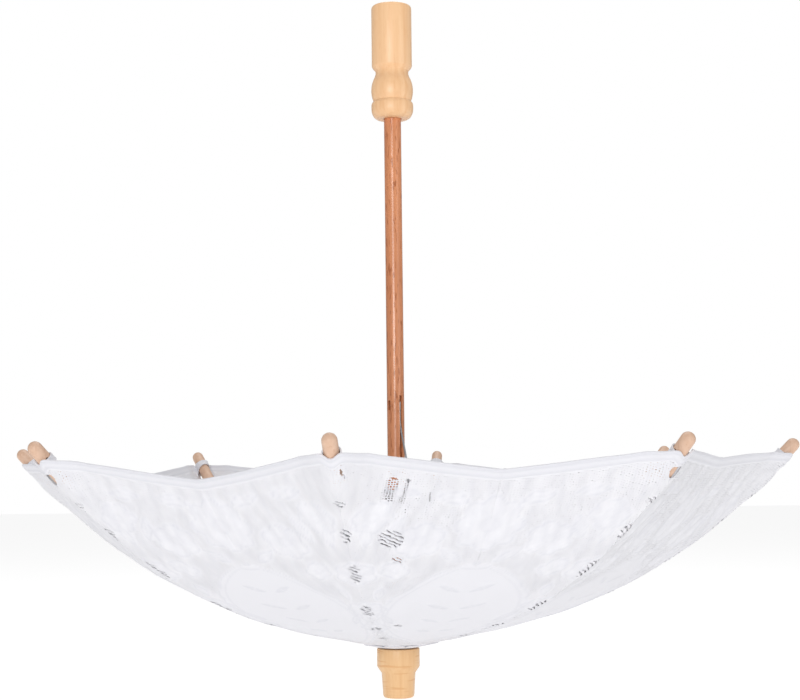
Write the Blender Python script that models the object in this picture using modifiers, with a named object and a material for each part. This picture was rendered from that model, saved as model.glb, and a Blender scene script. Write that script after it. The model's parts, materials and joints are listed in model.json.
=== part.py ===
"""Lace parasol, open, handle up. Metres, +Z up; Z is the shaft's axis and z = 0 the ferrule's end.

Every rib assembly is worked out once in its own frame (x outward, y along the hinge pin, z up)
and set round the shaft RIB_COUNT times.
"""
import math

import bmesh
import bpy
from mathutils import Matrix, Vector

# Whole object
LENGTH = 0.3834
RIB_COUNT = 8
FIRST_RIB = math.radians(-7.5)
GORE_HALF = math.pi / RIB_COUNT
GAP = 0.0003

# Canopy: height of its outer face over the radius along a rib
CANOPY_BASE = 0.0262
CANOPY_CONE = 0.17
CANOPY_BOWL = 0.0564
CANOPY_BOWL_R = 0.200
FABRIC = 0.0008
GORE_INNER_R = 0.0103
HEM_CORNER_R = 0.2100
HEM_MID_R = 0.1970
HEM_CURVE = 1.4
HEM_LIFT = 0.008
LIFT_START_R = 0.130
SEAM_GAP = 0.0004
GORE_HINGE = (0.0076, 0.004275, 0.020222)

# Wooden shaft, handle and ferrule
SHAFT_R = 0.00475
BORE_R = SHAFT_R + GAP
SHAFT_FOOT = 0.0083
SHAFT_TOP = 0.3447
HANDLE_FOOT = 0.319
GRIP_R = 0.01125
NECK_R = 0.0092
BULB_R = 0.0117
FERRULE_TOP = 0.0264
FERRULE_R = 0.0116

# Crown and runner
PIVOT_R = 0.0076
CROWN_Z = 0.0312
CROWN_R = 0.0096
CROWN_FOOT = 0.0279
CROWN_FLANGE_TOP = 0.0354
CROWN_TOP = 0.0395
COLLAR_R = 0.0069
PIN_Z = 0.0376
PIN_R = 0.0006
PIN_ANGLE = FIRST_RIB + GORE_HALF
WIRE_R = 0.0004
EYE_R = 0.0015
EYE_HOLE_R = WIRE_R + GAP
EYE_THICK = 0.0010
SLOT_WIDTH = EYE_THICK + 2 * GAP
SLOT_FLOOR_R = 0.0059
RUNNER_R = 0.0064
RUNNER_RIM_R = 0.0070
RUNNER_FLANGE_R = 0.0100
RUNNER_TOP = 0.1121

# Ribs, stretchers and tips
RIB_WIDTH = 0.0022
RIB_HEIGHT = 0.0016
RIB_WEB = 0.0005
GROOVE_WIDTH = 0.0014
RIB_START_R = 0.0132
RIB_OVER_FABRIC = FABRIC + GAP + RIB_HEIGHT / 2 + 0.00035
KNEE_R = 0.110
KNEE_OVER_RIB = 0.0012
EAR_R = 0.0014
STRETCHER_WIDTH = 0.0020
STRETCHER_HEIGHT = 0.0018
TONGUE_THICK = 0.0008
RIVET_R = 0.0004
RIVET_HEAD_R = 0.0011
RIVET_HEAD = 0.0004
TIP_R = 0.0035
TIP_LENGTH = 0.028
TIP_END = (0.216, 0.1365)
TIP_SLOPE = math.radians(45.5)
TIP_BORE_R = 0.00175
TIP_BORE = 0.0105
THREAD_HOLE_R = 0.0008
THREAD_HOLE_FROM_END = 0.0104

# Catch spring, in a slot cut in the shaft
CATCH_ANGLE = math.radians(40)
CATCH_WIRE_R = 0.0005
CATCH_SLOT_WIDTH = 0.0018
CATCH_SLOT_DEPTH_R = -0.0034
CATCH_SLOT_LOW = 0.1085
CATCH_SLOT_HIGH = 0.1640
CATCH_PIVOT = (0.0020, 0.1600)

ROUND = 32


def clear_scene():
    for obj in list(bpy.data.objects):
        bpy.data.objects.remove(obj, do_unlink=True)


def new_collection(name):
    collection = bpy.data.collections.new(name)
    bpy.context.scene.collection.children.link(collection)
    return collection


def new_material(name, colour, roughness, metallic=0.0):
    material = bpy.data.materials.new(name)
    material.use_nodes = True
    shader = material.node_tree.nodes["Principled BSDF"]
    shader.inputs["Base Color"].default_value = (*colour, 1.0)
    shader.inputs["Roughness"].default_value = roughness
    shader.inputs["Metallic"].default_value = metallic
    return material


clear_scene()
PARTS = new_collection("lace_parasol")
CUTTERS = new_collection("cutters")
CUTTERS.hide_render = True

PALE_WOOD = new_material("pale_wood", (0.90, 0.60, 0.34), 0.50)
STAINED_WOOD = new_material("stained_wood", (0.62, 0.27, 0.12), 0.38)
STEEL = new_material("steel", (0.62, 0.63, 0.65), 0.30, 1.0)
NICKEL = new_material("nickel_plate", (0.72, 0.70, 0.68), 0.25, 1.0)
LACE = new_material("white_lace", (0.90, 0.90, 0.93), 0.85)


# ---- Building blocks -------------------------------------------------------------------------

def arc(centre, radii, start, end, count):
    """Points on an ellipse's arc, angles in degrees, both ends included."""
    steps = [math.radians(start + (end - start) * i / (count - 1)) for i in range(count)]
    return [(centre[0] + radii[0] * math.cos(t), centre[1] + radii[1] * math.sin(t)) for t in steps]


def evaluated_mesh(obj):
    """The object's mesh with its modifiers and its transform, caps welded."""
    bpy.context.view_layer.update()
    graph = bpy.context.evaluated_depsgraph_get()
    mesh = bpy.data.meshes.new_from_object(obj.evaluated_get(graph))
    mesh.transform(obj.matrix_world)
    bm = bmesh.new()
    bm.from_mesh(mesh)
    bmesh.ops.remove_doubles(bm, verts=bm.verts, dist=1e-6)
    bmesh.ops.recalc_face_normals(bm, faces=bm.faces)
    bm.to_mesh(mesh)
    bm.free()
    return mesh


def add_object(name, data, material=None, collection=PARTS):
    obj = bpy.data.objects.new(name, data)
    collection.objects.link(obj)
    if material is not None:
        data.materials.clear()
        data.materials.append(material)
    return obj


def turned(name, profile, closed=False, steps=ROUND, material=None, collection=PARTS):
    """A turned shape about z; the profile runs from top to bottom on its outer side."""
    mesh = bpy.data.meshes.new(name)
    links = [(i, i + 1) for i in range(len(profile) - 1)]
    if closed:
        links.append((len(profile) - 1, 0))
    mesh.from_pydata([(r, 0.0, z) for r, z in profile], links, [])
    obj = add_object(name, mesh, material, collection)
    screw = obj.modifiers.new("Screw", "SCREW")
    screw.steps = steps
    screw.render_steps = steps
    screw.use_merge_vertices = True
    screw.merge_threshold = 0.00001
    screw.use_smooth_shade = False
    return obj


def flat_outline(name, points, thickness):
    """A mesh plate: an outline in the x-z plane, given thickness along y."""
    curve = bpy.data.curves.new(name, "CURVE")
    curve.dimensions = "2D"
    curve.fill_mode = "BOTH"
    curve.extrude = thickness / 2
    spline = curve.splines.new("POLY")
    spline.points.add(len(points) - 1)
    for place, (x, z) in zip(spline.points, points):
        place.co = (x, z, 0.0, 1.0)
    spline.use_cyclic_u = True
    drawn = add_object(name, curve, None, CUTTERS)
    drawn.rotation_euler = (math.pi / 2, 0.0, 0.0)
    plate = add_object(name + "_plate", evaluated_mesh(drawn), None, CUTTERS)
    bpy.data.objects.remove(drawn)
    return plate


def cylinder_y(name, radius, length, centre, vertices=16):
    """A cylinder along y, for pin holes and round ears."""
    bpy.ops.mesh.primitive_cylinder_add(
        vertices=vertices, radius=radius, depth=length, rotation=(math.pi / 2, 0.0, 0.0),
        location=(centre[0], 0.0, centre[1]))
    return to_cutters(name)


def box(name, low, high, turn=0.0):
    """A box between two corners, then turned about z."""
    centre = [(a + b) / 2 for a, b in zip(low, high)]
    size = [b - a for a, b in zip(low, high)]
    bpy.ops.mesh.primitive_cube_add(size=1.0)
    shape = Matrix.Translation(centre) @ Matrix.Diagonal((*size, 1.0))
    bpy.context.object.data.transform(Matrix.Rotation(turn, 4, "Z") @ shape)
    return to_cutters(name)


def to_cutters(name):
    obj = bpy.context.object
    obj.name = name
    for collection in list(obj.users_collection):
        collection.objects.unlink(obj)
    CUTTERS.objects.link(obj)
    return obj


def combine(obj, tool, operation="DIFFERENCE"):
    """Join or cut obj with tool by a live Boolean; the tool stays out of the render."""
    tool.hide_render = True
    tool.display_type = "WIRE"
    boolean = obj.modifiers.new(operation.title(), "BOOLEAN")
    boolean.operation = operation
    boolean.solver = "EXACT"
    boolean.object = tool


def finished(obj):
    """Apply the modifiers of a master shape and drop it with its tools; returns its mesh."""
    mesh = evaluated_mesh(obj)
    tools = [m.object for m in obj.modifiers if m.type == "BOOLEAN"]
    for used in tools + [obj]:
        bpy.data.objects.remove(used)
    return mesh


def pivot(name, location, angle=0.0, parent=None):
    """An empty on a joint's axis, turned about z to its rib's frame."""
    empty = bpy.data.objects.new(name, None)
    empty.empty_display_size = 0.004
    PARTS.objects.link(empty)
    place(empty, Matrix.Translation(location) @ Matrix.Rotation(angle, 4, "Z"), parent)
    return empty


def place(obj, matrix, parent=None):
    """Set an object's world matrix, then parent it without moving it."""
    obj.matrix_world = matrix
    if parent is not None:
        obj.parent = parent
        bpy.context.view_layer.update()
        obj.matrix_parent_inverse = parent.matrix_world.inverted()
    bpy.context.view_layer.update()


# ---- The canopy's form and the rib's line ----------------------------------------------------

def canopy_height(r):
    return CANOPY_BASE + CANOPY_CONE * r + CANOPY_BOWL * (r / CANOPY_BOWL_R) ** 3


def canopy_slope(r):
    return math.atan(CANOPY_CONE + 3 * CANOPY_BOWL / CANOPY_BOWL_R * (r / CANOPY_BOWL_R) ** 2)


def above_canopy(r, offset):
    """The point at a distance inside the canopy's outer face, over a rib, as (x, z)."""
    slope = canopy_slope(r)
    return r - offset * math.sin(slope), canopy_height(r) + offset * math.cos(slope)


def along_tip(distance):
    """The point on a tip's axis at a distance in from its outer end, as (x, z)."""
    return (TIP_END[0] - distance * math.cos(TIP_SLOPE), TIP_END[1] - distance * math.sin(TIP_SLOPE))


def rib_line():
    """The rib's centre line from the crown to the bore of its tip."""
    radii = [RIB_START_R + (0.188 - RIB_START_R) * i / 14 for i in range(15)]
    line = [above_canopy(r, RIB_OVER_FABRIC) for r in radii]
    return line + [along_tip(TIP_LENGTH), along_tip(TIP_LENGTH - TIP_BORE + 2 * GAP)]


def band(line, low, high):
    """An outline between two offsets from a line, measured square to it."""
    sides = ([], [])
    for i, (x, z) in enumerate(line):
        before = line[max(i - 1, 0)]
        after = line[min(i + 1, len(line) - 1)]
        run = Vector((after[0] - before[0], after[1] - before[1])).normalized()
        for side, offset in zip(sides, (low, high)):
            side.append((x - offset * run.y, z + offset * run.x))
    return sides[0] + sides[1][::-1]


KNEE = above_canopy(KNEE_R, RIB_OVER_FABRIC + KNEE_OVER_RIB)
RUNNER_Z = 2 * KNEE[1] - CROWN_Z
STRETCHER_LENGTH = math.hypot(KNEE[0] - PIVOT_R, KNEE[1] - CROWN_Z)
STRETCHER_RISE = math.atan2(RUNNER_Z - KNEE[1], KNEE[0] - PIVOT_R)


# ---- Wooden pieces ---------------------------------------------------------------------------

def make_shaft():
    edge = 0.0003
    profile = [(0.0, SHAFT_TOP), (SHAFT_R - edge, SHAFT_TOP), (SHAFT_R, SHAFT_TOP - edge),
               (SHAFT_R, SHAFT_FOOT + edge), (SHAFT_R - edge, SHAFT_FOOT), (0.0, SHAFT_FOOT)]
    shaft = turned("shaft", profile, material=STAINED_WOOD)
    outward = CATCH_ANGLE - math.pi / 2
    half = CATCH_SLOT_WIDTH / 2
    slot = box("catch_slot", (CATCH_SLOT_DEPTH_R, -half, CATCH_SLOT_LOW),
               (2 * SHAFT_R, half, CATCH_SLOT_HIGH), outward)
    anchor = box("catch_anchor_hole", (-half, -2 * SHAFT_R, 0.1560), (half, 0.0, 0.1612), outward)
    combine(slot, anchor, "UNION")
    combine(shaft, slot)
    pin_hole = cylinder_y("shaft_pin_hole", PIN_R + GAP, 4 * SHAFT_R, (0.0, PIN_Z))
    pin_hole.rotation_euler.z = PIN_ANGLE
    combine(shaft, pin_hole)


def make_handle():
    grip_top = [(0.0, LENGTH)] + arc((GRIP_R - 0.0013, LENGTH - 0.0014), (0.0013, 0.0014), 90, 0, 5)
    neck = [(GRIP_R, 0.3490), (GRIP_R - 0.0003, 0.3483), (NECK_R, 0.3462), (NECK_R, 0.3446)]
    bulb = arc((0.0062, 0.3352), (BULB_R - 0.0062, 0.0098), 48, -38, 9)
    ring = [(0.0110, 0.3284), (0.0115, 0.3278), (BULB_R, 0.3270), (BULB_R, 0.3255)]
    foot = arc((0.0078, 0.3246), (BULB_R - 0.0078, 0.3246 - HANDLE_FOOT), 0, -90, 7)
    bore = [(BORE_R, HANDLE_FOOT), (BORE_R, SHAFT_TOP + GAP), (0.0, SHAFT_TOP + GAP)]
    turned("handle", grip_top + neck + bulb + ring + foot + bore, material=PALE_WOOD)


def make_ferrule():
    bore = [(0.0, SHAFT_FOOT - GAP), (BORE_R, SHAFT_FOOT - GAP), (BORE_R, FERRULE_TOP)]
    top = arc((FERRULE_R - 0.0004, FERRULE_TOP - 0.0004), (0.0004, 0.0004), 90, 0, 3)
    cup = [(FERRULE_R, 0.0169), (FERRULE_R - 0.0003, 0.0162), (0.0092, 0.0132), (0.0085, 0.0016)]
    end = arc((0.0072, 0.0014), (0.0012, 0.0014), -10, -90, 4) + [(0.0, 0.0)]
    turned("ferrule", bore + top + cup + end, material=PALE_WOOD)


def tip_mesh():
    """A wooden tip along z, bored for the rib at z = 0 and round at its outer end."""
    round_end = arc((0.0, TIP_LENGTH - TIP_R), (TIP_R, TIP_R), 90, 0, 6)
    round_end[0] = (0.0, TIP_LENGTH)
    profile = round_end + [(TIP_R, 0.0006), (TIP_R - 0.0005, 0.0), (TIP_BORE_R, 0.0),
                           (TIP_BORE_R, TIP_BORE), (0.0, TIP_BORE)]
    tip = turned("tip_master", profile, steps=16)
    hole = (0.0, TIP_LENGTH - THREAD_HOLE_FROM_END)
    combine(tip, cylinder_y("thread_hole", THREAD_HOLE_R, 4 * TIP_R, hole, 8))
    return finished(tip)


# ---- Crown and runner ------------------------------------------------------------------------

def rib_angle(k):
    """Turn about z that takes x onto rib k's direction; rib 0 is the front one."""
    return FIRST_RIB + 2 * GORE_HALF * k - math.pi / 2


def ring_slots(name, low, high):
    """One cutter: a slot for each rib, open on the outside, between two heights."""
    outer = 2 * RUNNER_FLANGE_R
    half = SLOT_WIDTH / 2
    slots = [box(f"{name}_{k + 1}", (SLOT_FLOOR_R, -half, low), (outer, half, high), rib_angle(k))
             for k in range(RIB_COUNT)]
    with bpy.context.temp_override(active_object=slots[0], selected_editable_objects=slots):
        bpy.ops.object.join()
    return slots[0]


def ring_tunnel(name, z):
    bpy.ops.mesh.primitive_torus_add(major_radius=PIVOT_R, minor_radius=EYE_HOLE_R,
                                     major_segments=ROUND, minor_segments=8, location=(0, 0, z))
    return to_cutters(name)


def make_ring_wire(name, z):
    """The wire ring that threads all the eyes of a crown or runner."""
    bpy.ops.mesh.primitive_torus_add(major_radius=PIVOT_R, minor_radius=WIRE_R,
                                     major_segments=ROUND, minor_segments=6, location=(0, 0, z))
    ring = to_cutters(name)
    CUTTERS.objects.unlink(ring)
    PARTS.objects.link(ring)
    ring.data.materials.append(STEEL)
    return ring


def make_crown():
    edge = 0.0004
    profile = [(COLLAR_R - edge, CROWN_TOP), (COLLAR_R, CROWN_TOP - edge),
               (COLLAR_R, CROWN_FLANGE_TOP), (CROWN_R - edge, CROWN_FLANGE_TOP),
               (CROWN_R, CROWN_FLANGE_TOP - edge), (CROWN_R, CROWN_FOOT + edge),
               (CROWN_R - edge, CROWN_FOOT), (BORE_R, CROWN_FOOT), (BORE_R, CROWN_TOP)]
    crown = turned("crown", profile, closed=True, material=NICKEL)
    slot_floor = CROWN_Z - EYE_R - GAP - 0.0002
    combine(crown, ring_slots("crown_slots", slot_floor, CROWN_FLANGE_TOP + 0.0002))
    combine(crown, ring_tunnel("crown_tunnel", CROWN_Z))
    pin_hole = cylinder_y("crown_pin_hole", PIN_R + GAP, 3 * COLLAR_R, (0.0, PIN_Z))
    pin_hole.rotation_euler.z = PIN_ANGLE
    combine(crown, pin_hole)
    make_ring_wire("crown_wire", CROWN_Z)
    bpy.ops.mesh.primitive_cylinder_add(
        vertices=12, radius=PIN_R, depth=2 * COLLAR_R + 0.0006,
        rotation=(math.pi / 2, 0.0, PIN_ANGLE), location=(0.0, 0.0, PIN_Z))
    pin = to_cutters("crown_pin")
    CUTTERS.objects.unlink(pin)
    PARTS.objects.link(pin)
    pin.data.materials.append(STEEL)


def make_centre_patch():
    """The round patch sewn to the canopy's middle, held between crown and ferrule."""
    low = FERRULE_TOP + GAP
    high = CROWN_FOOT - GAP
    outer = CROWN_R - 0.0002
    profile = [(outer, high), (outer, low), (BORE_R, low), (BORE_R, high)]
    turned("centre_patch", profile, closed=True, material=LACE)


def make_runner(slide):
    edge = 0.0004
    foot = RUNNER_Z - 0.0045
    shoulder = RUNNER_Z + 0.0045
    profile = [(RUNNER_RIM_R - edge, RUNNER_TOP), (RUNNER_RIM_R, RUNNER_TOP - edge),
               (RUNNER_RIM_R, RUNNER_TOP - 0.0016), (RUNNER_R, RUNNER_TOP - 0.0024),
               (RUNNER_R, shoulder + 0.0030), (RUNNER_R + 0.0012, shoulder + 0.0008),
               (RUNNER_FLANGE_R - edge, shoulder), (RUNNER_FLANGE_R, shoulder - edge),
               (RUNNER_FLANGE_R, foot + edge), (RUNNER_FLANGE_R - edge, foot),
               (BORE_R, foot), (BORE_R, RUNNER_TOP)]
    runner = turned("runner", profile, closed=True, material=NICKEL)
    slot_roof = RUNNER_Z + EYE_R + GAP + 0.0002
    combine(runner, ring_slots("runner_slots", foot - 0.0002, slot_roof))
    combine(runner, ring_tunnel("runner_tunnel", RUNNER_Z))
    for piece in (runner, make_ring_wire("runner_wire", RUNNER_Z)):
        place(piece, piece.matrix_world.copy(), slide)


# ---- Ribs, stretchers and rivets -------------------------------------------------------------

def rib_mesh():
    """A channelled steel rib in its own frame, with an eye, two ears and a pin hole."""
    line = rib_line()
    rib = flat_outline("rib", band(line, -RIB_HEIGHT / 2, RIB_HEIGHT / 2), RIB_WIDTH)
    neck_end = line[1]
    eye = arc((PIVOT_R, CROWN_Z), (EYE_R, EYE_R), 60, 290, 10)
    neck = eye + [(neck_end[0], neck_end[1] - RIB_HEIGHT / 2 + 0.0002),
                  (neck_end[0], neck_end[1] + RIB_HEIGHT / 2 - 0.0002)]
    combine(rib, flat_outline("rib_neck", neck, EYE_THICK), "UNION")
    combine(rib, cylinder_y("rib_ears", EAR_R, RIB_WIDTH, KNEE), "UNION")
    groove_line = [line[0]] + line[1:]
    groove_line[0] = (line[0][0] + 0.0020, line[0][1] + 0.0002)
    end = along_tip(TIP_LENGTH - TIP_BORE - 0.001)
    groove = band(groove_line + [end], RIB_WEB - RIB_HEIGHT / 2, 0.004)
    combine(rib, flat_outline("rib_groove", groove, GROOVE_WIDTH))
    combine(rib, cylinder_y("rib_eye_hole", EYE_HOLE_R, 0.01, (PIVOT_R, CROWN_Z), 12))
    combine(rib, cylinder_y("rib_pin_hole", RIVET_R + GAP, 0.01, KNEE, 12))
    return finished(rib)


def stretcher_mesh():
    """A stretcher along x from the knee pin at the origin to the runner's eye."""
    height = STRETCHER_HEIGHT / 2
    far = STRETCHER_LENGTH
    bar = [(0.0095, -height), (far - 0.0075, -height), (far - 0.0075, height), (0.0095, height)]
    tongue = arc((0.0, 0.0), (0.0012, 0.0012), 90, 270, 8) + [(0.0110, -0.0008), (0.0110, 0.0008)]
    eye = arc((far, 0.0), (EYE_R, EYE_R), -130, 130, 10)
    eye += [(far - 0.0090, height - 0.0002), (far - 0.0090, 0.0002 - height)]
    groove = [(0.0125, -0.0002), (far - 0.0105, -0.0002), (far - 0.0105, 0.004), (0.0125, 0.004)]
    stretcher = flat_outline("stretcher", bar, STRETCHER_WIDTH)
    combine(stretcher, flat_outline("tongue", tongue, TONGUE_THICK), "UNION")
    combine(stretcher, flat_outline("stretcher_eye", eye, EYE_THICK), "UNION")
    combine(stretcher, flat_outline("stretcher_groove", groove, STRETCHER_WIDTH / 2))
    combine(stretcher, cylinder_y("knee_hole", RIVET_R + GAP, 0.01, (0.0, 0.0), 12))
    combine(stretcher, cylinder_y("runner_hole", EYE_HOLE_R, 0.01, (far, 0.0), 12))
    mesh = finished(stretcher)
    mesh.transform(Matrix.Rotation(-(math.pi - STRETCHER_RISE), 4, "Y"))
    return mesh


def rivet_mesh():
    inner = RIB_WIDTH / 2 + GAP
    outer = inner + RIVET_HEAD
    half = [(0.0, outer), (RIVET_HEAD_R - GAP, outer), (RIVET_HEAD_R, outer - RIVET_HEAD / 2),
            (RIVET_HEAD_R, inner), (RIVET_R, inner)]
    profile = half + [(r, -z) for r, z in reversed(half)]
    rivet = turned("rivet_master", profile, steps=12)
    rivet.rotation_euler.x = math.pi / 2
    return finished(rivet)


def make_rib_set(k, meshes):
    """Rib k with its tip, rivet and stretcher, on empties that sit on their hinge axes."""
    number = k + 1
    frame = Matrix.Rotation(rib_angle(k), 4, "Z")
    crown_point = Matrix.Translation((PIVOT_R, 0.0, CROWN_Z))
    knee_point = Matrix.Translation((KNEE[0], 0.0, KNEE[1]))
    inner_end = along_tip(TIP_LENGTH)
    tip_point = (Matrix.Translation((inner_end[0], 0.0, inner_end[1]))
                 @ Matrix.Rotation(math.pi / 2 - TIP_SLOPE, 4, "Y"))

    fold = pivot(f"fold_{number}", (frame @ crown_point).translation, rib_angle(k))
    knee = pivot(f"knee_{number}", (frame @ knee_point).translation, rib_angle(k), fold)
    place(add_object(f"rib_{number}", meshes["rib"], STEEL), frame @ crown_point, fold)
    place(add_object(f"tip_{number}", meshes["tip"], PALE_WOOD), frame @ tip_point, fold)
    place(add_object(f"rivet_{number}", meshes["rivet"], STEEL), frame @ knee_point, fold)
    place(add_object(f"stretcher_{number}", meshes["stretcher"], STEEL), frame @ knee_point, knee)
    return fold, knee


# ---- Canopy ----------------------------------------------------------------------------------

def gore_point(u, v, side):
    """A point on the outer face: u from the middle out to the hem, v from the rib to mid-gore."""
    hem = HEM_MID_R + (HEM_CORNER_R - HEM_MID_R) * (1 - v) ** HEM_CURVE
    inner = GORE_INNER_R * (1 - v + v / math.cos(GORE_HALF))
    r = inner + (hem - inner) * u
    tip_clearance = TIP_R + 2 * GAP
    open_up = min(max((r - 0.184) / 0.008, 0.0), 1.0)
    from_rib = SEAM_GAP + (tip_clearance - SEAM_GAP) * open_up
    full = r * math.sin(GORE_HALF) * math.cos(GORE_HALF)
    low = from_rib / full
    high = 1 - SEAM_GAP / (r * math.sin(GORE_HALF))
    w = low + (high - low) * v
    lift = HEM_LIFT * (max(r - LIFT_START_R, 0.0) / (HEM_MID_R - LIFT_START_R)) ** 2
    z = canopy_height(r) + lift * (1 - (1 - w) ** 2)
    return r * (1 - w * math.sin(GORE_HALF) ** 2), side * w * full, z


def gore_hinge(side):
    """A point on the axis a half-gore swings about as the canopy closes into pleats."""
    return Vector((GORE_HINGE[0], side * GORE_HINGE[1], GORE_HINGE[2]))


def gore_mesh(name, side):
    """Half a gore, from its rib to mid-gore, as a sheet with the fabric's thickness."""
    rows, columns = 14, 5
    bpy.ops.mesh.primitive_grid_add(x_subdivisions=rows, y_subdivisions=columns, size=2)
    sheet = to_cutters(name)
    for vertex in sheet.data.vertices:
        u = (vertex.co.x + 1) / 2
        v = (vertex.co.y + 1) / 2
        vertex.co = gore_point(u, v, side)
    solidify = sheet.modifiers.new("Solidify", "SOLIDIFY")
    solidify.thickness = FABRIC
    solidify.offset = side
    return finished(sheet)


def make_gores(k, fold, meshes):
    """The two half-gores that fold about rib k."""
    frame = Matrix.Rotation(rib_angle(k), 4, "Z")
    for side, letter in ((1, "a"), (-1, "b")):
        gore = add_object(f"gore_{k + 1}{letter}", meshes[side], LACE)
        place(gore, frame @ Matrix.Translation(gore_hinge(side)), fold)


# ---- Catch spring ----------------------------------------------------------------------------

def make_catch_spring():
    """The bent wire that holds the runner: anchored in the shaft, out through its slot."""
    route = [(0.0, -0.0037, 0.1585), (0.0, -0.0016, 0.1588), (0.0007, -0.0004, 0.1594),
             (0.0018, 0.0, 0.1606), (0.0029, 0.0, 0.1611), (0.0036, 0.0, 0.1603),
             (0.0034, 0.0, 0.1560), (0.0034, 0.0, 0.1500), (0.0045, 0.0, 0.1440),
             (0.0068, 0.0, 0.1360), (0.0087, 0.0, 0.1290), (0.0100, 0.0, 0.1190),
             (0.0101, 0.0, 0.1145), (0.0098, 0.0, 0.1134), (0.0089, 0.0, 0.1129),
             (0.0072, 0.0, 0.1133), (0.0055, 0.0, 0.1145), (0.0040, 0.0, 0.1158)]
    start = Vector((CATCH_PIVOT[0], 0.0, CATCH_PIVOT[1]))
    curve = bpy.data.curves.new("catch_spring", "CURVE")
    curve.dimensions = "3D"
    curve.bevel_depth = CATCH_WIRE_R
    curve.bevel_resolution = 2
    curve.use_fill_caps = True
    spline = curve.splines.new("POLY")
    spline.points.add(len(route) - 1)
    for knot, point in zip(spline.points, route):
        knot.co = (*(Vector(point) - start), 1.0)
    spring = add_object("catch_spring", curve, STEEL)
    turn = Matrix.Rotation(CATCH_ANGLE - math.pi / 2, 4, "Z")
    place(spring, turn @ Matrix.Translation(start))


# ---- The parasol -----------------------------------------------------------------------------

def moved(mesh, offset):
    mesh.transform(Matrix.Translation(offset))
    return mesh


make_shaft()
make_handle()
make_ferrule()
make_crown()
make_centre_patch()
make_catch_spring()

to_crown_pivot = (-PIVOT_R, 0.0, -CROWN_Z)
MESHES = {"rib": moved(rib_mesh(), to_crown_pivot), "stretcher": stretcher_mesh(),
          "tip": tip_mesh(), "rivet": rivet_mesh(),
          1: moved(gore_mesh("gore_right", 1), -gore_hinge(1)),
          -1: moved(gore_mesh("gore_left", -1), -gore_hinge(-1))}
for index in range(RIB_COUNT):
    fold_pivot, knee_pivot = make_rib_set(index, MESHES)
    make_gores(index, fold_pivot, MESHES)
    if index == 0:
        flange_point = Matrix.Rotation(rib_angle(0), 4, "Z") @ Vector((PIVOT_R, 0.0, RUNNER_Z))
        make_runner(pivot("runner_slide", flange_point, rib_angle(0), knee_pivot))
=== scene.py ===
"""Looks of the lace parasol: lace canopy with hem and tip loops, wood, steel, camera and light.

Metres, +Z up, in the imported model's frame. A rib's own frame has x outward over the rib, y along
its hinge pin and z up the shaft. Lace patterns are laid out in millimetres on the flat cloth.
"""
import json
import math

import bmesh
import bpy
import numpy as np
from mathutils import Matrix, Vector

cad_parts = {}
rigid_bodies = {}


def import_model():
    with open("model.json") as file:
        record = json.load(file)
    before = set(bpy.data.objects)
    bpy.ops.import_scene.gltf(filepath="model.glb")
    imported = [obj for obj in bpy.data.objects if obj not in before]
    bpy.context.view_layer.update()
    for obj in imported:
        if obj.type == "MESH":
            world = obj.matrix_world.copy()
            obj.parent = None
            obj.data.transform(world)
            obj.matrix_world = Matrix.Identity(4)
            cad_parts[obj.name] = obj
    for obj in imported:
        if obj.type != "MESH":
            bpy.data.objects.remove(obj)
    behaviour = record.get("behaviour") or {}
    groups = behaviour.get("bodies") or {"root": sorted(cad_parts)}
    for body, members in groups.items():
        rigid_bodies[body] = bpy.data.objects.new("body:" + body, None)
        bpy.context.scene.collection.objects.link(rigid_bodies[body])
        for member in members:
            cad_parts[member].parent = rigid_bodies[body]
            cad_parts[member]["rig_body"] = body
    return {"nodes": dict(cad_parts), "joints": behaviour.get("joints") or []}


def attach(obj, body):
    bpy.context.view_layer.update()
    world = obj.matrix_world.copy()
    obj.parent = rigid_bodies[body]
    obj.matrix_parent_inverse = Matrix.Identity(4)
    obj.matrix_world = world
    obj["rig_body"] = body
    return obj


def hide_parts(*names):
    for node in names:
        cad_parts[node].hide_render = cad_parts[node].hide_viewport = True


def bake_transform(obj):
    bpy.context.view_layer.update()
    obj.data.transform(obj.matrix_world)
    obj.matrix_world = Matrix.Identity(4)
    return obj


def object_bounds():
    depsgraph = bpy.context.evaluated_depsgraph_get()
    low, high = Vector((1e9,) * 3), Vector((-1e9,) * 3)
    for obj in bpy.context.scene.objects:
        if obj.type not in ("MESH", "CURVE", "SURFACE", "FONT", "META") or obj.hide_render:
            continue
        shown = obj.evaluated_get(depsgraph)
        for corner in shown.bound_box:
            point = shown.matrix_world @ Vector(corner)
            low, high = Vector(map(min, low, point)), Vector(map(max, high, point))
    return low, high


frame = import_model()
CAD_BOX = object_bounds()
NODES = frame["nodes"]
JOINTS = {joint["name"]: joint for joint in frame["joints"]}

# The canopy's form, close to the CAD's, with the hem drawn out beside each tip
RIB_COUNT = 8
GORE_HALF = math.pi / RIB_COUNT
CANOPY_BASE = 0.0262
CANOPY_CONE = 0.17
CANOPY_BOWL = 0.0564
CANOPY_BOWL_R = 0.200
HEM_CORNER_R = 0.2103
HEM_MID_R = 0.197
HEM_CURVE = 1.4
HEM_LIFT = 0.008
HEM_PULL = 0.006
HEM_PULL_START = 0.004
HEM_PULL_REACH = 0.010
LIFT_START_R = 0.130
TIP_END = np.array([0.216, 0.0, 0.1365])
TIP_SLOPE = math.radians(45.5)
TIP_R = 0.0035
TIP_AXIS = np.array([math.cos(TIP_SLOPE), 0.0, math.sin(TIP_SLOPE)])
TIP_OUTWARD = np.array([math.sin(TIP_SLOPE), 0.0, -math.cos(TIP_SLOPE)])

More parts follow.
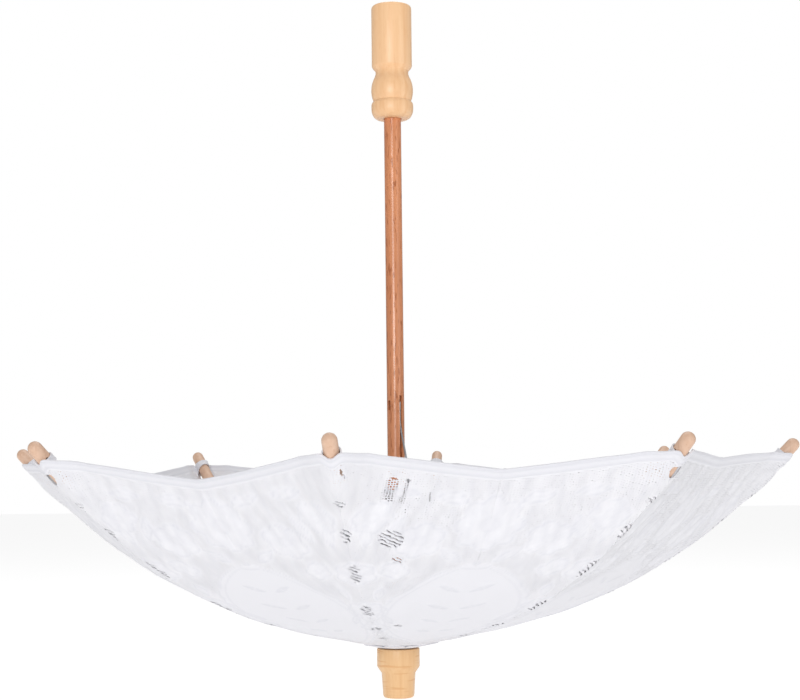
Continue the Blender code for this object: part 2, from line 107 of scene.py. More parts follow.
# Cloth: colours (the darker one also gives painted shade along the lace's raised cords), half
# thickness, how far the relief stands out, and the mesh's rows and columns
CLOTH_LIGHT = (0.79, 0.785, 0.815)
CLOTH_DARK = (0.65, 0.65, 0.695)
CLOTH_HALF = 0.0002
FRONT_RELIEF = 0.00028
BACK_RELIEF = 0.00010
WANDER = 0.0003
PUCKER = 0.00035
GORE_INNER_R = 0.0122
PEG_CLEARANCE = 0.0004
ROW_PITCH = 0.00125
HEM_PITCH = 0.0005
HEM_BAND = 0.0065
SLOPE_LENGTH = 1.12
COLUMNS = 64
TUCK_W = (1.008, 1.02)
TUCK_DEPTH = 0.00048
HEM_WIDTH_MM = 5.0
MM = 1000

# The gores that differ from the rest
FRONT_HALF_GORE = (1, "a")
UNEVEN_HEM_R = {(2, "a"): 0.201, (3, "b"): 0.201, (8, "a"): 0.1945, (1, "b"): 0.1945}

# The loop over each tip: its edge along the tip, its width over it, how both grow to its feet
LOOP_TOP = -0.0101
LOOP_WIDTH = 0.0034
LOOP_SLANT = -0.0004
LOOP_FLARE = 0.0070
LOOP_TURN = 112.0
LOOP_FOOT = 0.0060

# The rosette at the middle
ROSETTE_INNER_R = 0.0099
ROSETTE_R = 0.022
ROSETTE_SCALLOP = 0.007
ROSETTE_BELOW = 0.0009

# The camera: a long lens just below the hem, looking up a little; angles in degrees
CAMERA_PLACE = (0.0, -0.8818, 0.1162)
CAMERA_LENS = 71.94
CAMERA_SENSOR = 36.0
CAMERA_UP = 4.74
CAMERA_TURN = -0.18
CAMERA_ROLL = -0.65

FLOOR_HALF_SIZE = 6.0


# ---- Materials -------------------------------------------------------------------------------

class Shader:
    """A Principled material and short calls that add nodes in front of it."""

    def __init__(self, name, colour, roughness, metallic=0.0):
        self.material = bpy.data.materials.new(name)
        self.material.use_nodes = True
        self.tree = self.material.node_tree
        self.principled = self.tree.nodes["Principled BSDF"]
        self.set("Base Color", (*colour, 1.0))
        self.set("Roughness", roughness)
        self.set("Metallic", metallic)

    def set(self, socket, value):
        self.principled.inputs[socket].default_value = value

    def to(self, socket, output):
        self.tree.links.new(output, self.principled.inputs[socket])

    def add(self, kind, inputs=None, **properties):
        """A node; inputs maps socket names or numbers to values or other nodes' outputs."""
        node = self.tree.nodes.new(kind)
        for key, value in properties.items():
            setattr(node, key, value)
        for key, value in (inputs or {}).items():
            if isinstance(value, bpy.types.NodeSocket):
                self.tree.links.new(value, node.inputs[key])
            else:
                node.inputs[key].default_value = value
        return node

    def math(self, operation, a, b=0.0, c=0.0):
        node = self.add("ShaderNodeMath", {0: a, 1: b, 2: c}, operation=operation)
        return node.outputs[0]

    def mix(self, share, a, b):
        node = self.add("ShaderNodeMix", {0: share, 6: a, 7: b}, data_type="RGBA")
        return node.outputs[2]

    def attribute(self, name):
        return self.add("ShaderNodeAttribute", attribute_name=name).outputs["Fac"]

    def ramp(self, value, stops):
        node = self.add("ShaderNodeValToRGB", {0: value})
        ramp = node.color_ramp
        while len(ramp.elements) < len(stops):
            ramp.elements.new(0.5)
        for element, (place, grey) in zip(ramp.elements, stops):
            element.position = place
            element.color = (grey, grey, grey, 1.0)
        return node.outputs[0]

    def noise(self, vector, scale, detail):
        inputs = {"Vector": vector, "Scale": scale, "Detail": detail}
        return self.add("ShaderNodeTexNoise", inputs).outputs[0]

    def stretched(self, scale):
        """The piece's own coordinates, scaled differently on each axis."""
        source = self.add("ShaderNodeTexCoord").outputs["Object"]
        return self.add("ShaderNodeMapping", {"Vector": source, "Scale": scale}).outputs[0]

    def bump(self, height, distance, strength):
        inputs = {"Height": height, "Distance": distance, "Strength": strength}
        self.to("Normal", self.add("ShaderNodeBump", inputs).outputs[0])


def wood(name, light, dark, roughness, fleck_amount, cloud_amount=0.5, turning=0.0):
    """Wood with long grain along z, short dark flecks and, if asked, turning lines round it."""
    shader = Shader(name, light, roughness)
    lines = shader.noise(shader.stretched((1.0, 1.0, 0.03)), 420.0, 4.0)
    clouds = shader.noise(shader.stretched((1.0, 1.0, 0.25)), 60.0, 2.0)
    flecks = shader.noise(shader.stretched((1.0, 1.0, 0.16)), 900.0, 1.0)
    lines = shader.ramp(lines, [(0.35, 0.0), (0.72, 1.0)])
    flecks = shader.ramp(flecks, [(0.58, 0.0), (0.68, 1.0)])
    share = shader.math("MULTIPLY_ADD", lines, 0.40, shader.math("MULTIPLY", clouds, cloud_amount))
    share = shader.math("MULTIPLY_ADD", flecks, fleck_amount, share)
    height = shader.math("ADD", lines, flecks)
    if turning:
        rings = shader.noise(shader.stretched((0.06, 0.06, 1.0)), 900.0, 1.0)
        rings = shader.ramp(rings, [(0.60, 0.0), (0.68, 1.0)])
        share = shader.math("MULTIPLY_ADD", rings, turning, share)
        height = shader.math("MULTIPLY_ADD", rings, -1.5, height)
    shader.to("Base Color", shader.mix(share, (*light, 1.0), (*dark, 1.0)))
    shader.to("Roughness", shader.math("MULTIPLY_ADD", lines, 0.12, roughness - 0.06))
    shader.bump(height, 0.00004, 0.5)
    return shader.material


def metal(name, colour, roughness):
    """Drawn metal: fine streaks in its roughness and a little tarnish."""
    shader = Shader(name, colour, roughness, 1.0)
    streaks = shader.noise(shader.stretched((1.0, 1.0, 0.08)), 1600.0, 2.0)
    tarnish = shader.noise(shader.stretched((1.0, 1.0, 1.0)), 120.0, 3.0)
    darker = tuple(c * 0.72 for c in colour)
    shader.to("Base Color", shader.mix(tarnish, (*colour, 1.0), (*darker, 1.0)))
    shader.to("Roughness", shader.math("MULTIPLY_ADD", streaks, 0.22, roughness - 0.08))
    shader.bump(streaks, 0.00002, 0.4)
    return shader.material


def cloth(name):
    """White cotton with a soft sheen; braid and lace add the weave and mottling."""
    shader = Shader(name, CLOTH_LIGHT, 0.85)
    shader.set("Sheen Weight", 0.25)
    shader.set("Sheen Roughness", 0.6)
    shader.set("Specular IOR Level", 0.2)
    return shader


def braid(name):
    """Close plain cloth, for the patch and rosette at the middle and the loops at the tips."""
    shader = cloth(name)
    weave = shader.noise(shader.stretched((1.0, 1.0, 1.0)), 2200.0, 2.0)
    soft = shader.noise(shader.stretched((1.0, 1.0, 1.0)), 260.0, 2.0)
    shader.to("Base Color", shader.mix(soft, (*CLOTH_LIGHT, 1.0), (*CLOTH_DARK, 1.0)))
    shader.bump(shader.math("MULTIPLY_ADD", soft, 2.0, weave), 0.00012, 0.5)
    return shader.material


def lace(name):
    """White lace: solid embroidery, a fine net between, and rows of slanted slots at the ribs."""
    shader = cloth(name)
    flat = shader.add("ShaderNodeUVMap", uv_map="cloth").outputs[0]
    drawn = shader.add("ShaderNodeMapping", {"Vector": flat, "Scale": (1.0, 0.35, 1.0)}).outputs[0]
    threads = shader.add("ShaderNodeMapping", {"Vector": flat, "Scale": (1.0, 0.12, 1.0)}).outputs[0]
    weave = shader.math("ADD", shader.noise(flat, 1800.0, 2.0), shader.noise(threads, 2600.0, 2.0))
    ruffle = shader.math("MULTIPLY", shader.noise(drawn, 190.0, 2.5), shader.attribute("ruffle"))

    cells = shader.add("ShaderNodeTexVoronoi", {"Vector": flat, "Scale": 800.0, "Randomness": 0.45},
                       feature="DISTANCE_TO_EDGE", voronoi_dimensions="2D").outputs["Distance"]
    solid = shader.math("MULTIPLY_ADD", shader.attribute("solid"), 0.5, 0.34)
    opened = shader.math("MULTIPLY_ADD", shader.attribute("thin"), -0.22, solid)
    net_hole = shader.math("GREATER_THAN", cells, opened)
    beside = shader.add("ShaderNodeUVMap", uv_map="beside_rib").outputs[0]
    across, along = shader.add("ShaderNodeSeparateXYZ", {0: beside}).outputs[:2]
    slant = shader.math("MULTIPLY_ADD", across, 0.8, along)
    uneven = shader.noise(flat, 320.0, 1.0)
    rung = shader.math("MULTIPLY_ADD", uneven, 1.3, shader.math("DIVIDE", slant, 0.0029))
    slot = shader.math("LESS_THAN", shader.math("FRACT", rung), 0.42)
    window = shader.math("GREATER_THAN", shader.attribute("window"), 0.0)
    hole = shader.math("GREATER_THAN", shader.attribute("hole"), 0.0)
    cut = shader.math("MAXIMUM", hole, shader.math("MULTIPLY", slot, window))
    cut = shader.math("MAXIMUM", cut, net_hole)
    shader.to("Alpha", shader.math("SUBTRACT", 1.0, cut))

    mottle = shader.math("MULTIPLY_ADD", shader.attribute("ruffle"), -0.5, ruffle)
    share = shader.math("MULTIPLY_ADD", mottle, 1.2, 0.20)
    # Painted shade: the colour darkens where the cords and hem rims stand out, for the small shadows
    # they cast
    share = shader.math("MULTIPLY_ADD", shader.attribute("cord"), 0.65, share)
    shader.to("Base Color", shader.mix(share, (*CLOTH_LIGHT, 1.0), (*CLOTH_DARK, 1.0)))
    height = shader.math("MULTIPLY_ADD", ruffle, 5.0, weave)
    shader.bump(height, 0.00012, 0.5)
    return shader.material


PALE_WOOD = wood("pale_wood", (0.95, 0.64, 0.375), (0.80, 0.44, 0.21), 0.38, 0.12)
FERRULE_WOOD = wood("ferrule_wood", (0.80, 0.54, 0.29), (0.68, 0.38, 0.17), 0.38, 0.12, 0.5, 0.8)
TIP_WOOD = wood("tip_wood", (0.72, 0.50, 0.37), (0.58, 0.36, 0.24), 0.45, 0.3)
STAINED_WOOD = wood("stained_wood", (0.86, 0.37, 0.18), (0.42, 0.135, 0.05), 0.28, 0.6, 0.65)
STEEL = metal("steel", (0.50, 0.51, 0.53), 0.36)
NICKEL = metal("nickel", (0.62, 0.60, 0.59), 0.30)
LACE = lace("lace")
BRAID = braid("lace_braid")


# ---- Rigid pieces: the CAD's shapes with rounded edges ---------------------------------------

def refined(node, material, bevel=0.0):
    """A piece with the CAD node's shape, smooth where it is round and softened at its edges."""
    source = NODES[node]
    bm = bmesh.new()
    bm.from_mesh(source.data)
    bmesh.ops.remove_doubles(bm, verts=bm.verts, dist=1e-6)
    bmesh.ops.dissolve_limit(bm, angle_limit=math.radians(0.5), verts=bm.verts, edges=bm.edges)
    for face in bm.faces:
        face.smooth = True
    for edge in bm.edges:
        edge.smooth = edge.is_manifold and edge.calc_face_angle(0.0) < math.radians(32)
    mesh = bpy.data.meshes.new(f"{node}_look")
    bm.to_mesh(mesh)
    bm.free()
    mesh.materials.append(material)
    piece = bpy.data.objects.new(f"{node}_look", mesh)
    bpy.context.scene.collection.objects.link(piece)
    if bevel:
        rounding = piece.modifiers.new("Bevel", "BEVEL")
        rounding.width = bevel
        rounding.segments = 2
        rounding.limit_method = "ANGLE"
        rounding.angle_limit = math.radians(40)
    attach(piece, source["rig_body"])
    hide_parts(node)


refined("handle", PALE_WOOD, 0.0002)
refined("ferrule", FERRULE_WOOD, 0.0002)
refined("shaft", STAINED_WOOD, 0.0001)
refined("crown", NICKEL, 0.0001)
refined("runner", NICKEL, 0.0001)
refined("centre_patch", BRAID, 0.0002)
for name in ("crown_wire", "runner_wire", "crown_pin", "catch_spring"):
    refined(name, STEEL)
for number in range(1, RIB_COUNT + 1):
    refined(f"rib_{number}", STEEL, 0.0001)
    refined(f"stretcher_{number}", STEEL, 0.0001)
    refined(f"rivet_{number}", STEEL)
    refined(f"tip_{number}", TIP_WOOD, 0.0002)


# ---- The canopy's surface --------------------------------------------------------------------

def smooth(low, high, value):
    """0 below low, 1 above high, and an even S between."""
    t = np.clip((value - low) / (high - low), 0.0, 1.0)
    return t * t * (3 - 2 * t)


def canopy_height(r):
    return CANOPY_BASE + CANOPY_CONE * r + CANOPY_BOWL * (r / CANOPY_BOWL_R) ** 3


def canopy_grade(r):
    return CANOPY_CONE + 3 * CANOPY_BOWL / CANOPY_BOWL_R * (r / CANOPY_BOWL_R) ** 2


def along_cloth(r):
    """Length of the cloth from the shaft's axis out to r, along a rib."""
    table_r = np.linspace(0.0, 0.22, 441)
    step = np.sqrt(1 + canopy_grade(table_r) ** 2) * (table_r[1] - table_r[0])
    return np.interp(r, table_r, np.cumsum(step) - step / 2)


def on_canopy(r, w):
    """Points in the rib's frame; w runs from 0 on the rib to 1 at mid-gore."""
    lift = HEM_LIFT * (np.maximum(r - LIFT_START_R, 0) / (HEM_MID_R - LIFT_START_R)) ** 2
    x = r * (1 - w * math.sin(GORE_HALF) ** 2)
    y = r * w * math.sin(GORE_HALF) * math.cos(GORE_HALF)
    z = canopy_height(r) + lift * (1 - (1 - np.minimum(w, 1.0)) ** 2)
    return np.stack([x, y, z], axis=-1)


def round_the_peg(points):
    """Cloth pushed out so that it passes round the outer side of the wooden tip."""
    rel = points - TIP_END
    along = rel @ TIP_AXIS
    below = rel @ TIP_OUTWARD
    beside = rel[..., 1]
    reach = TIP_R + PEG_CLEARANCE + CLOTH_HALF
    wrap = np.sqrt(np.maximum(reach**2 - beside**2, 0.0))
    skirt = reach * np.exp(-((np.abs(beside) / 0.0085) ** 2))
    push = np.maximum(np.maximum(wrap, skirt) - below, 0.0)
    push = push * smooth(-0.046, -0.025, along) * smooth(0.016, 0.004, np.abs(beside))
    return points + push[..., None] * TIP_OUTWARD


def cloth_below(beside, along):
    """How far outside a tip's axis the cloth lies, at a distance beside it and along it."""
    r = np.linspace(0.180, 0.214, 137)
    points = round_the_peg(on_canopy(r, beside / (r * math.sin(GORE_HALF) * math.cos(GORE_HALF))))
    rel = points - TIP_END
    return np.interp(along, rel @ TIP_AXIS, rel @ TIP_OUTWARD)


# ---- The lace's pattern, in millimetres on the flat cloth ------------------------------------

def ridge(distance, width):
    return np.exp(-((distance / width) ** 2))


def flower(u, v, centre, radius, petals, turn=0.0):
    """(distance outside the flower's edge, relief) of a round flower."""
    x, y = u - centre[0], v - centre[1]
    out = np.hypot(x, y)
    angle = np.arctan2(y, x) + turn
    lobe = np.abs(np.cos(petals * angle / 2))
    edge = out - radius * (0.80 + 0.20 * lobe)
    veins = ridge(np.sin(petals * angle / 2) * out, 1.1) * smooth(0.22, 0.4, out / radius)
    relief = 0.8 * ridge(edge + 0.6, 0.8) + 0.5 * ridge(out - 0.24 * radius, 0.9)
    relief += 0.45 * (1 - veins) * smooth(0.0, -2.0, edge)
    return edge, relief


def leaf(u, v, centre, length, width, turn):
    """(distance outside the leaf's edge, relief) of a pointed leaf with a middle vein."""
    x, y = u - centre[0], v - centre[1]
    a = x * math.cos(turn) + y * math.sin(turn)
    b = -x * math.sin(turn) + y * math.cos(turn)
    half = width * (1 - np.clip(np.abs(a) / length, 0, 1) ** 1.6)
    edge = np.maximum(np.abs(b) - half, np.abs(a) - length)
    relief = 0.7 * ridge(edge + 0.4, 0.7) + 0.5 * ridge(b, 0.5) * smooth(0.0, -0.8, edge)
    relief += 0.3 * smooth(0.0, -0.8, edge)
    return edge, relief


def petal(u, v):
    """The large smooth petal that fills the middle of each gore."""
    start, end, half = 36.0, 163.0, 36.0
    t = np.clip((v - start) / (end - start), 1e-4, 1 - 1e-4)
    width = half * np.sin(math.pi * t**1.45) ** 0.62
    edge = np.maximum(u - width, np.maximum(start - v, v - end))
    scallop = 1.3 * np.abs(np.sin((v * 0.9 + u * 0.6) * math.pi / 9.0))
    relief = 0.9 * ridge(edge - scallop + 0.4, 0.8) + 0.55 * ridge(edge + 3.4, 0.6)
    relief += 0.25 * smooth(0.0, -1.5, edge)
    return edge - scallop, relief


def pattern(u, v, beside, from_hem):
    """(how solid the cloth is, relief, ruffle) from the distances to mid-gore, centre, rib, hem."""
    motifs = [
        petal(u, v),
        flower(u, v, (0, 190), 17, 8),
        flower(u, v, (31, 181), 12, 6, 0.4),
        flower(u, v, (56, 199), 10, 6, 0.9),
        flower(beside, v, (0, 89), 8.5, 6),
        flower(beside, v, (0, 119), 10.5, 8),
        flower(beside, v, (0, 158), 11, 6, 0.5),
        flower(beside, v, (19, 160), 7.5, 5, 0.2),
        leaf(u, v, (14, 170), 8, 3.2, 0.7),
        leaf(u, v, (44, 190), 9, 3.2, 1.9),
        leaf(u, v, (20, 206), 9, 3.4, 0.3),
        leaf(u, v, (45, 212), 9, 3.0, 0.2),
        leaf(beside, v, (8, 104), 9, 2.6, 1.75),
        leaf(beside, v, (9, 138), 8, 2.6, 1.3),
        leaf(beside, v, (9, 188), 9, 3.0, 1.4),
    ]
    for level, size in ((78, 5.0), (98, 6.5), (120, 7.5), (141, 7.0)):
        motifs.append(leaf(u, v, (size + 1, level), size, 1.9, 0.55))
    solid = np.full(u.shape, -1.0)
    relief = np.zeros(u.shape)
    for edge, height in motifs:
        solid = np.maximum(solid, -edge)
        relief = np.maximum(relief, height * smooth(2.5, 0.8, edge))
    ruffle = smooth(-3.0, 2.0, petal(u, v)[0]) * smooth(40.0, 70.0, v)
    gather = np.sin(v * 1.7 + 0.9 * np.sin(beside * 0.6)) * smooth(40.0, 24.0, v)
    relief += 0.35 * gather * smooth(0.6, 3.0, beside)
    hem = from_hem - HEM_WIDTH_MM
    solid = np.maximum(solid, -hem)
    relief = relief * smooth(0.0, 2.0, hem)
    ruffle = ruffle * smooth(0.0, 2.0, hem)
    rims = ridge(from_hem - 0.9, 0.7) + 0.8 * ridge(from_hem - HEM_WIDTH_MM + 0.7, 0.6)
    relief += 1.3 * rims + 0.5 * smooth(0.5, -0.5, hem)
    solid = np.maximum(solid, 27.0 - v)
    return np.clip(0.5 + solid / 2, 0.0, 1.0), relief, ruffle


def oval(x, y, half_width, half_height):
    """Positive inside an oval, in shares of its size."""
    return 1.0 - np.hypot(x / half_width, y / half_height)


def windows(beside, v):
    """Positive, in millimetres, where slanted slots open the cloth beside a rib."""
    share = np.full(v.shape, -1.0)
    reach = 2.2 + 0.9 * np.sin(v * 0.9)
    for low, high in ((57, 62), (84, 90), (111, 125), (150, 166), (184, 194), (209, 214)):
        share = np.maximum(share, np.minimum(np.minimum(v - low, high - v), reach - beside))
    return share


def tip_hole(beside, from_hem):
    """The oval hole in the lace that shows the peg just inside the hem."""
    return oval(beside, from_hem - 9.4, 3.1, 3.4)


def front_openings(beside, v, from_hem):
    """(slots, holes, thin net) of the half-gore in front of the shaft, with a slit by its tip."""
    slots = 6.0 - np.hypot(beside - 20.0, v - 184.0)
    for place, level, size in ((21.0, 168.0, 2.4), (12.0, 91.0, 2.2)):
        slots = np.maximum(slots, size - np.hypot(beside - place, v - level))
    holes = oval(beside - 0.84 - 0.3 * from_hem, from_hem - 10.6, 0.7, 4.0)
    for place, level, width, height in ((25.5, 10.8, 2.6, 0.8), (31.7, 11.2, 1.5, 1.0),
                                        (40.5, 19.0, 0.6, 5.5), (0.6, 9.0, 1.1, 0.8)):
        holes = np.maximum(holes, oval(beside - place, from_hem - level, width, height))
    lean = 0.35 * (from_hem - 17.5)
    patch = np.maximum(2.8 - np.abs(beside - 23.3 + lean), 1.3 - np.abs(beside - 29.3 + lean))
    thin = np.minimum(patch, 6.5 - np.abs(from_hem - 18.5))
    return slots, holes, np.clip(0.5 + thin, 0.0, 1.0)


# ---- Half-gores ------------------------------------------------------------------------------

def rib_frame(number):
    """World matrix of a rib's frame, with its origin on the shaft's axis at z = 0."""
    point = JOINTS[f"fold_{number}"]["pos_m"]
    return Matrix.Rotation(math.atan2(point[1], point[0]), 4, "Z")


def normals_of(points):
    """Unit normals on the grid, pointing to the outer face."""
    along = np.gradient(points, axis=0)
    across = np.gradient(points, axis=1)
    normal = np.cross(along, across)
    return -normal / np.linalg.norm(normal, axis=-1, keepdims=True)


def shell(name, outer, inner, side):
    """A closed mesh between two grids of points."""
    rows, columns = outer.shape[:2]
    count = rows * columns
    index = np.arange(count).reshape(rows, columns)
    quads = np.stack([index[:-1, :-1], index[:-1, 1:], index[1:, 1:], index[1:, :-1]], axis=-1)
    quads = quads.reshape(-1, 4)
    border = np.concatenate([index[0, :-1], index[:-1, -1], index[-1, :0:-1], index[:0:-1, 0]])
    after = np.roll(border, -1)
    rim = np.stack([border, border + count, after + count, after], axis=-1)
    faces = np.concatenate([quads, quads[:, ::-1] + count, rim])
    if side < 0:
        faces = faces[:, ::-1]
    mesh = bpy.data.meshes.new(name)
    points = np.concatenate([outer.reshape(-1, 3), inner.reshape(-1, 3)])
    points[:, 1] *= side
    mesh.from_pydata(points.tolist(), [], faces.tolist())
    return mesh


def set_points(mesh, **values):
    """Point attributes, the same on both faces of a shell."""
    for name, grid in values.items():
        attribute = mesh.attributes.new(name, "FLOAT", "POINT")
        attribute.data.foreach_set("value", np.tile(grid.ravel(), 2).astype(np.float32))


def set_uv(mesh, name, u, v):
    corners = np.zeros(len(mesh.loops), dtype=np.int32)
    mesh.loops.foreach_get("vertex_index", corners)
    flat = np.stack([np.tile(u.ravel(), 2), np.tile(v.ravel(), 2)], axis=-1)
    layer = mesh.uv_layers.new(name=name)
    layer.data.foreach_set("uv", flat[corners].astype(np.float32).ravel())


def sewn_piece(mesh, name, number, material):
    """The object of a finished cloth mesh, moved from its rib's frame to the canopy."""
    mesh.shade_smooth()
    mesh.set_sharp_from_angle(angle=math.radians(50))
    mesh.materials.append(material)
    mesh.transform(rib_frame(number))
    piece = bpy.data.objects.new(name, mesh)
    bpy.context.scene.collection.objects.link(piece)
    return piece


def half_gore_grid(tuck, hem_mid_r):
    """Radius, share w and distance from the hem, with a narrow tuck past mid-gore if asked."""
    w = np.linspace(0.0, 1.0, COLUMNS + 1)
    if tuck:
        w = np.append(w, TUCK_W)
    hem = hem_mid_r + (HEM_CORNER_R - hem_mid_r) * (1 - np.minimum(w, 1.0)) ** HEM_CURVE
    beside = hem * np.minimum(w, 1.0) * math.sin(GORE_HALF)
    drawn_out = 1 - np.exp(-((beside / HEM_PULL_START) ** 2))
    hem = hem + HEM_PULL * drawn_out * np.exp(-beside / HEM_PULL_REACH)
    slant = math.sqrt(1 + canopy_grade(HEM_MID_R) ** 2)
    band = HEM_BAND / slant
    inner_rows = int((HEM_MID_R - GORE_INNER_R) * SLOPE_LENGTH / ROW_PITCH)
    main = np.linspace(0.0, 1.0, inner_rows + 1)[:, None]
    hem_rows = np.linspace(0.0, 1.0, int(HEM_BAND / HEM_PITCH) + 1)[1:, None]
    r = np.concatenate([GORE_INNER_R + (hem - band - GORE_INNER_R) * main,
                        hem - band + band * hem_rows])
    from_hem = (hem - r) * slant
    return r, np.broadcast_to(w, r.shape), from_hem


def make_half_gore(number, letter):
    side = 1 if letter == "a" else -1
    tuck = letter == "a"
    r, w, from_hem = half_gore_grid(tuck, UNEVEN_HEM_R.get((number, letter), HEM_MID_R))
    points = on_canopy(r, w)
    from_rib = points[..., 1] / math.cos(GORE_HALF)
    from_middle = r * math.sin(GORE_HALF) - from_rib
    length = along_cloth(r)
    u, v, beside, inwards = np.abs(from_middle) * MM, length * MM, from_rib * MM, from_hem * MM
    solid, relief, ruffle = pattern(u, v, beside, inwards)
    window = windows(beside, v)
    hole = tip_hole(beside, inwards)
    if number == FRONT_HALF_GORE[0]:
        hole = np.full(v.shape, -1.0)
    thin = np.zeros(v.shape)
    if (number, letter) == FRONT_HALF_GORE:
        slots, holes, thin = front_openings(beside, v, inwards)
        window = np.maximum(window, slots)
        hole = np.maximum(hole, holes)
        solid = solid * (1.0 - thin)
    # Painted shade along the raised cords and hem rims, weaker on the ruffled solid embroidery
    cord = np.clip(relief, 0.0, 1.0) * (1.0 - np.clip(solid * 2 - 1.6, 0.0, 0.4) * ruffle)

    points = round_the_peg(points)
    normal = normals_of(points)
    normal[:, 0, 1] = 0.0
    middle = np.array([math.sin(GORE_HALF), -math.cos(GORE_HALF), 0.0])
    normal[:, COLUMNS] -= (normal[:, COLUMNS] @ middle)[:, None] * middle
    normal /= np.linalg.norm(normal, axis=-1, keepdims=True)
    wander = WANDER * np.sin(v / 9.0) * np.sin(u / 7.0) * smooth(0.0, 6.0, u)
    puckers = PUCKER * np.sin(u / 1.9 + 2.2 * np.sin(v / 8.0)) * ruffle * smooth(0.0, 6.0, u)
    points = points + (wander + puckers * smooth(4.0, 12.0, beside))[..., None] * normal
    thickness = CLOTH_HALF + FRONT_RELIEF * relief
    back = CLOTH_HALF + BACK_RELIEF * relief * smooth(0.0, 3.0, u)
    if tuck:
        points[:, COLUMNS + 1:] -= normal[:, COLUMNS + 1:] * TUCK_DEPTH
        thickness[:, COLUMNS + 1:] = CLOTH_HALF
        back[:, COLUMNS + 1:] = CLOTH_HALF
    outer = points + normal * thickness[..., None]
    inner = points - normal * back[..., None]

    mesh = shell(f"lace_{number}{letter}", outer, inner, side)
    set_points(mesh, solid=solid, window=window, hole=hole, thin=thin, ruffle=ruffle, cord=cord)
    set_uv(mesh, "cloth", from_middle, length)
    set_uv(mesh, "beside_rib", side * from_rib, length)
    piece = sewn_piece(mesh, f"lace_{number}{letter}", number, LACE)
    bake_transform(piece)
    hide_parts(f"gore_{number}{letter}")
    return piece


def make_tip_loop(number):
    """The narrow band of hem that passes over the inner side of the wooden tip."""
    reach = TIP_R + PEG_CLEARANCE + CLOTH_HALF
    turn = np.radians(np.linspace(0.0, LOOP_TURN, 17))
    crest = np.stack([np.sin(turn), -np.cos(turn)], axis=-1) * reach
    fall = np.linspace(0.0, 1.0, 9)[1:]
    sides = np.concatenate([np.linspace(0.0, 0.55, 17), 0.55 + 0.45 * fall])
    rows = []
    for depth in np.linspace(0.0, 1.0, 11):
        along = LOOP_TOP - LOOP_SLANT * sides**2 - (LOOP_WIDTH + LOOP_FLARE * sides**2) * depth
        foot = np.array([LOOP_FOOT, cloth_below(LOOP_FOOT, along[-1]) - 3 * CLOTH_HALF])
        tail = crest[-1] + (foot - crest[-1]) * fall[:, None]
        tail[:, 1] += 0.0004 * np.sin(fall * math.pi)
        half = np.concatenate([crest, tail])
        half = (TIP_END + along[:, None] * TIP_AXIS
                + half[:, 1:] * TIP_OUTWARD + half[:, :1] * np.array([0.0, 1.0, 0.0]))
        rows.append(np.concatenate([half[:0:-1] * (1, -1, 1), half]))
    points = np.array(rows)
    normal = normals_of(points)
    rim = np.abs(np.linspace(-1.0, 1.0, 11))[:, None]
    thickness = np.broadcast_to(CLOTH_HALF + 0.00015 * smooth(0.5, 0.85, rim), points.shape[:2])
    mesh = shell(f"tip_loop_{number}", points + normal * thickness[..., None],
                 points - normal * thickness[..., None], 1)
    piece = sewn_piece(mesh, f"tip_loop_{number}", number, BRAID)
    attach(piece, f"rib_{number}")
    return piece


def make_centre_petal(number):
    """One lobe of the rosette that gathers the gores at the middle of the canopy."""
    share = np.linspace(-1.0, 1.0, 33)[None, :]
    outwards = np.linspace(0.0, 1.0, 15)[:, None]
    rim = ROSETTE_R - ROSETTE_SCALLOP * share**2
    r = ROSETTE_INNER_R + (rim - ROSETTE_INNER_R) * outwards
    x, y = r * np.cos(share * GORE_HALF), r * np.sin(share * GORE_HALF)
    below = ROSETTE_BELOW * (1.0 - 0.3 * smooth(0.3, 1.0, outwards))
    z = canopy_height(x + np.sqrt(y**2 + 1e-6) * math.tan(GORE_HALF)) - below
    points = np.stack([x, y, z], axis=-1)
    normal = normals_of(points)
    relief = (ridge((rim - r) * MM - 0.6, 0.5) + 0.6 * ridge((rim - r) * MM - 2.6, 0.5)
              + 0.4 * ridge(np.sin(share * math.pi * 4.0) * r * 120, 0.6))
    thickness = CLOTH_HALF + 0.00012 * relief
    mesh = shell(f"centre_petal_{number}", points + normal * thickness[..., None],
                 points - normal * CLOTH_HALF, 1)
    piece = sewn_piece(mesh, f"centre_petal_{number}", number, BRAID)
    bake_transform(piece)
    return piece


for number in range(1, RIB_COUNT + 1):
    loop = make_tip_loop(number)
    petal_piece = make_centre_petal(number)
    for letter in "ab":
        half = make_half_gore(number, letter)


# ---- Camera, light and floor -----------------------------------------------------------------

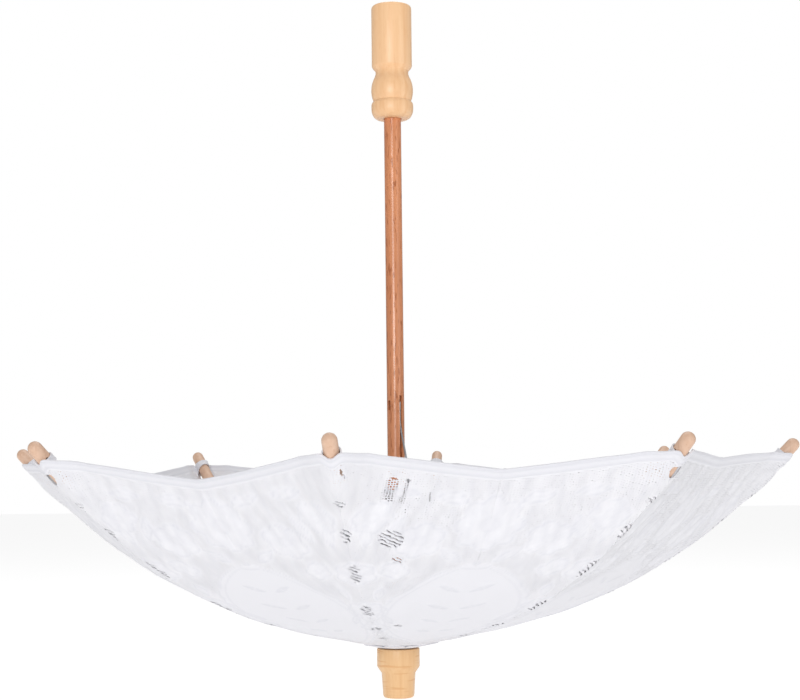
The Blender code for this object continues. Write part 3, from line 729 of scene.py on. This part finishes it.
def make_camera():
    camera = bpy.data.objects.new("camera", bpy.data.cameras.new("camera"))
    camera.data.lens = CAMERA_LENS
    camera.data.sensor_width = CAMERA_SENSOR
    camera.data.clip_start = 0.01
    camera.location = CAMERA_PLACE
    pitch = Matrix.Rotation(math.radians(90 + CAMERA_UP), 4, "X")
    yaw = Matrix.Rotation(math.radians(CAMERA_TURN), 4, "Z")
    roll = Matrix.Rotation(math.radians(CAMERA_ROLL), 4, "Z")
    camera.matrix_world = Matrix.Translation(camera.location) @ yaw @ pitch @ roll
    bpy.context.scene.collection.objects.link(camera)
    bpy.context.scene.camera = camera


def make_area(name, location, target, size, power):
    light = bpy.data.lights.new(name, "AREA")
    light.shape = "DISK"
    light.size = size
    light.energy = power
    lamp = bpy.data.objects.new(name, light)
    aim = (Vector(target) - Vector(location)).to_track_quat("-Z", "Y")
    lamp.matrix_world = Matrix.Translation(location) @ aim.to_matrix().to_4x4()
    bpy.context.scene.collection.objects.link(lamp)


def make_world(seen, ambient):
    """A white studio: bright behind the object, softer as a light on it."""
    world = bpy.data.worlds.new("studio")
    world.use_nodes = True
    nodes, links = world.node_tree.nodes, world.node_tree.links
    background = nodes["Background"]
    background.inputs["Color"].default_value = (1.0, 1.0, 1.0, 1.0)
    strength = nodes.new("ShaderNodeMath")
    strength.operation = "MULTIPLY_ADD"
    strength.inputs[1].default_value = seen - ambient
    strength.inputs[2].default_value = ambient
    links.new(nodes.new("ShaderNodeLightPath").outputs["Is Camera Ray"], strength.inputs[0])
    links.new(strength.outputs[0], background.inputs["Strength"])
    bpy.context.scene.world = world


def make_floor():
    shader = Shader("floor", (0.35, 0.35, 0.35), 0.9)
    shader.set("Emission Color", (1.0, 1.0, 1.0, 1.0))
    shader.set("Emission Strength", 0.78)
    mesh = bpy.data.meshes.new("floor")
    bm = bmesh.new()
    bmesh.ops.create_grid(bm, x_segments=1, y_segments=1, size=FLOOR_HALF_SIZE)
    bm.to_mesh(mesh)
    bm.free()
    mesh.materials.append(shader.material)
    floor = bpy.data.objects.new("floor", mesh)
    floor.location.z = CAD_BOX[0].z
    bpy.context.scene.collection.objects.link(floor)


make_camera()
make_world(seen=1.0, ambient=0.38)
make_area("key", (-0.30, -1.6, 0.40), (0, 0, 0.15), 0.6, 9.5)
make_area("fill", (1.3, -0.9, 0.25), (0, 0, 0.15), 1.0, 3.5)
make_area("top", (0.1, 0.3, 1.5), (0, 0, 0.1), 1.2, 9)
make_floor()
bpy.context.scene.view_settings.view_transform = "Standard"
